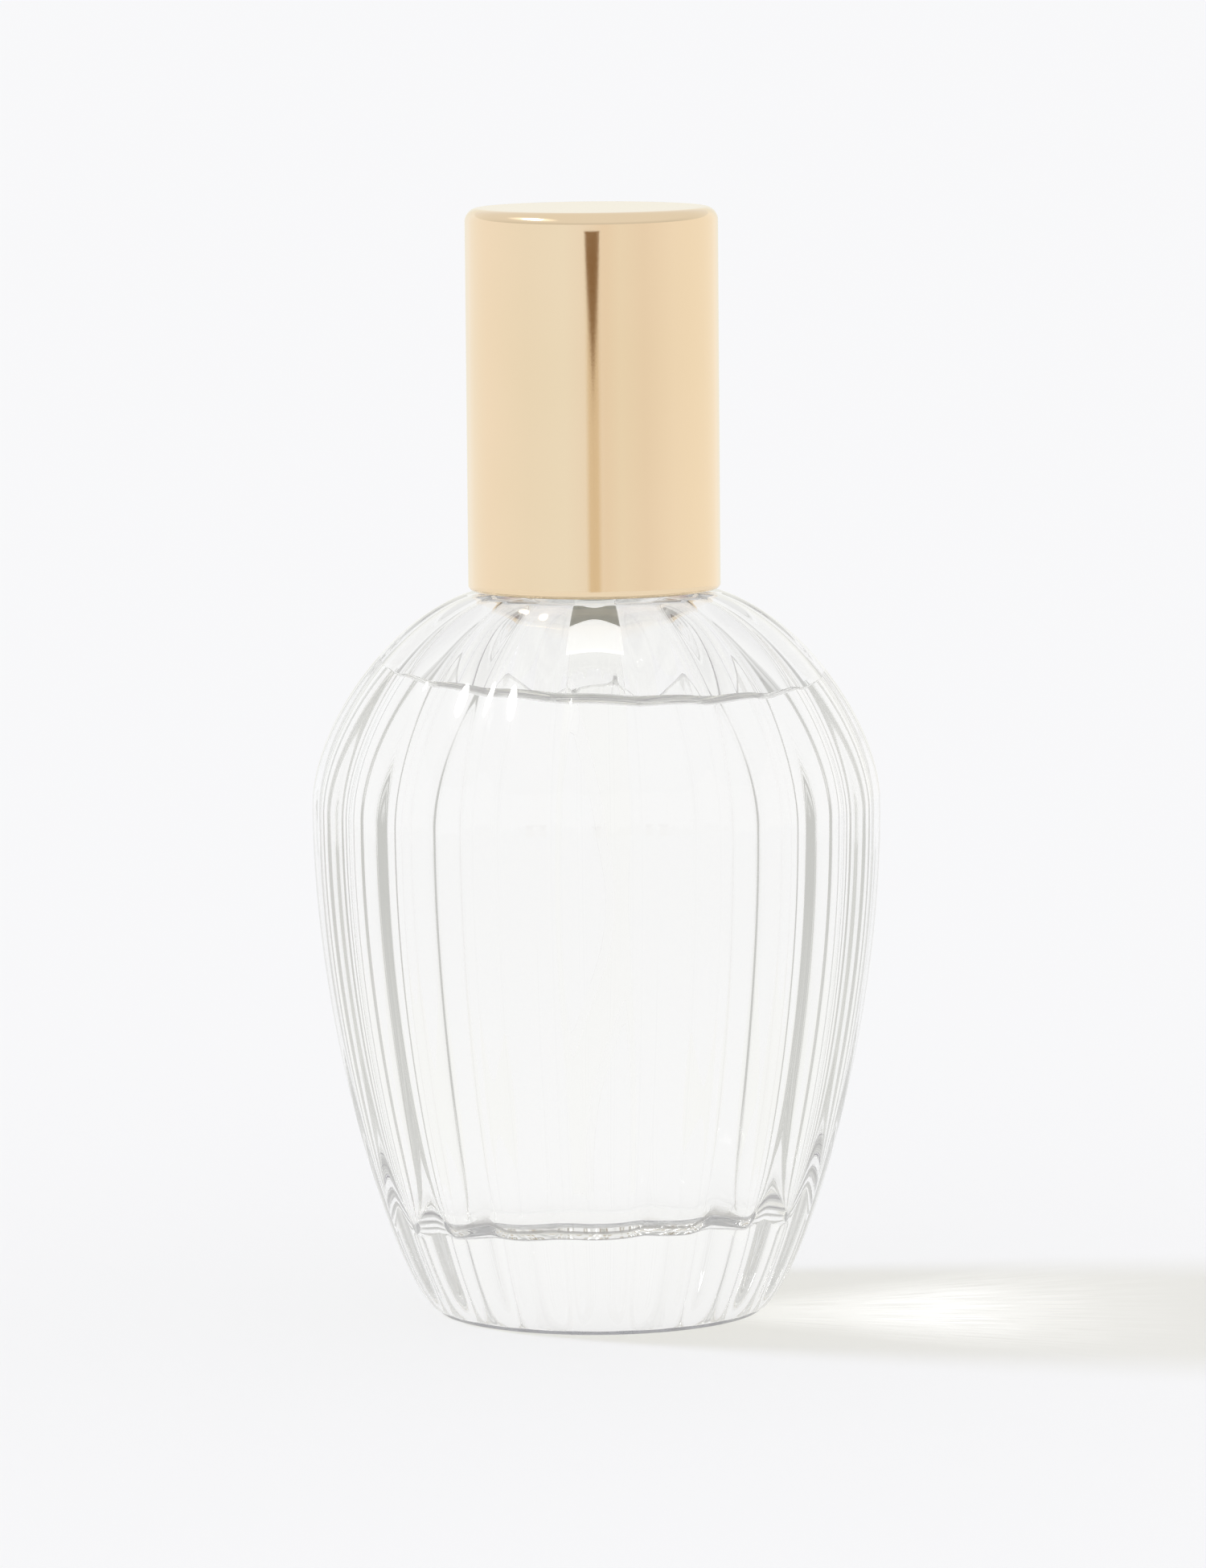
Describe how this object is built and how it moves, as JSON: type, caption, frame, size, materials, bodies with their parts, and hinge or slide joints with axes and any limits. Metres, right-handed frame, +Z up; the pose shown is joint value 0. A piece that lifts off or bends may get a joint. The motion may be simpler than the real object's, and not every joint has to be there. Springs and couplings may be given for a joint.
{
  "type": "perfume spray bottle",
  "caption": "Fluted glass perfume bottle with a rounded shoulder, crimped spray pump, turning actuator and slim pull-off gold cap.",
  "frame": {"origin": "centre of the base, in the plane the bottle stands on", "axes": "+Z up along the bottle's axis, -Y out of the spray nozzle"},
  "size_m": [0.042, 0.042, 0.0817],
  "materials": {
    "glass": "clear polished glass",
    "perfume": "clear, almost colourless liquid",
    "gold": "pale gold anodised, fine satin",
    "ferrule": "bright drawn sheet",
    "spring_steel": "bright wire",
    "clear_plastic": "clear, slightly milky",
    "white_plastic": "moulded white, soft sheen",
    "seal": "matte light grey"
  },
  "bodies": {
    "bottle": {"bottle_glass": "glass", "perfume": "perfume", "neck_gasket": "seal", "pump_housing": "clear_plastic", "stem_seal": "seal", "pump_turret": "white_plastic", "dip_tube": "clear_plastic", "return_spring": "spring_steel", "crimp_ferrule": "ferrule", "ferrule_collar": "gold"},
    "valve_ball": {"inlet_ball": "spring_steel"},
    "stem": {"pump_stem": "white_plastic", "piston": "white_plastic", "plunger": "white_plastic", "load_spring": "spring_steel"},
    "actuator": {"actuator_button": "white_plastic", "actuator_shell": "gold", "nozzle_insert": "white_plastic"},
    "cap": {"cap_shell": "gold", "cap_liner": "white_plastic"}
  },
  "joints": [
    {"name": "cap_lift", "type": "slide", "parent": "bottle", "child": "cap", "axis": [0, 0, 1], "range_m": [0, 0.04]},
    {"name": "pump_press", "type": "slide", "parent": "bottle", "child": "stem", "axis": [0, 0, -1], "range_m": [0, 0.0038], "stiffness_N_per_m": 1500, "springref_m": -0.002, "deforming": ["return_spring"]},
    {"name": "actuator_turn", "type": "hinge", "parent": "stem", "child": "actuator", "pos_m": [0, 0, 0.071], "axis": [0, 0, 1], "continuous": true},
    {"name": "ball_lift", "type": "slide", "parent": "bottle", "child": "valve_ball", "axis": [0, 0, 1], "range_m": [0, 0.0006]}
  ]
}
